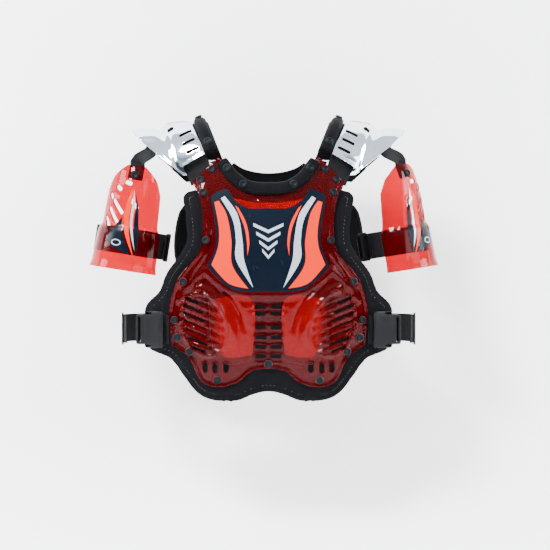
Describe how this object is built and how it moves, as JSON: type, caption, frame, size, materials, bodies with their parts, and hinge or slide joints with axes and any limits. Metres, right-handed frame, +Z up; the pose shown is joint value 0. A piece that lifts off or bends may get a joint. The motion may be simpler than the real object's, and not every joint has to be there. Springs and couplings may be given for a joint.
{
  "type": "roost deflector",
  "caption": "Chest protector for off-road riding: red translucent shells, chrome shoulder cups, foam liners and arm guards.",
  "frame": {"origin": "mid between the shoulders, level with the underside of the shoulder pads, mid between front and back", "axes": "+Z up along the spine, -Y out of the chest, +X towards the wearer's left arm"},
  "size_m": [0.6224, 0.2636, 0.5007],
  "materials": {
    "red_shell": "translucent moulded, glossy",
    "chrome_shell": "mirror plated",
    "black_foam": "fabric-faced moulded foam, matte",
    "black_webbing": "woven webbing",
    "black_plastic": "fine grain",
    "snap_metal": "satin dark",
    "decal_film": "glossy printed film"
  },
  "bodies": {
    "root": {"chest_plate": "red_shell", "back_plate": "red_shell", "chest_liner": "black_foam", "back_liner": "black_foam", "chest_graphic": "decal_film", "front_collar_roll": "black_foam", "back_collar_roll": "black_foam", "centre_stud": "snap_metal", "left_shoulder_cup": "chrome_shell", "left_cup_liner": "black_foam", "left_shoulder_band": "black_webbing", "left_cup_roll": "black_foam", "left_arm_guard": "red_shell", "left_arm_band": "black_webbing", "left_arm_slider": "black_plastic", "left_arm_hanger": "black_webbing", "left_buckle_body": "black_plastic", "left_buckle_tongue": "black_plastic", "left_side_strap": "black_webbing", "left_side_slider": "black_plastic", "left_side_tab": "black_webbing", "left_stud_collar_inner": "snap_metal", "left_stud_collar_outer": "snap_metal", "left_stud_corner_inner": "snap_metal", "left_stud_corner_outer": "snap_metal", "left_stud_corner_lower": "snap_metal", "left_stud_rail_upper": "snap_metal", "left_stud_rail_lower": "snap_metal", "left_stud_waist_upper": "snap_metal", "left_stud_waist_lower": "snap_metal", "left_stud_edge_side": "snap_metal", "left_stud_edge_lower": "snap_metal", "left_stud_roll_lower": "snap_metal", "left_stud_roll_upper": "snap_metal", "right_shoulder_cup": "chrome_shell", "right_cup_liner": "black_foam", "right_shoulder_band": "black_webbing", "right_cup_roll": "black_foam", "right_arm_guard": "red_shell", "right_arm_band": "black_webbing", "right_arm_slider": "black_plastic", "right_arm_hanger": "black_webbing", "right_buckle_body": "black_plastic", "right_buckle_tongue": "black_plastic", "right_side_strap": "black_webbing", "right_side_slider": "black_plastic", "right_side_tab": "black_webbing", "right_stud_collar_inner": "snap_metal", "right_stud_collar_outer": "snap_metal", "right_stud_corner_inner": "snap_metal", "right_stud_corner_outer": "snap_metal", "right_stud_corner_lower": "snap_metal", "right_stud_rail_upper": "snap_metal", "right_stud_rail_lower": "snap_metal", "right_stud_waist_upper": "snap_metal", "right_stud_waist_lower": "snap_metal", "right_stud_edge_side": "snap_metal", "right_stud_edge_lower": "snap_metal", "right_stud_roll_lower": "snap_metal", "right_stud_roll_upper": "snap_metal"}
  },
  "joints": []
}
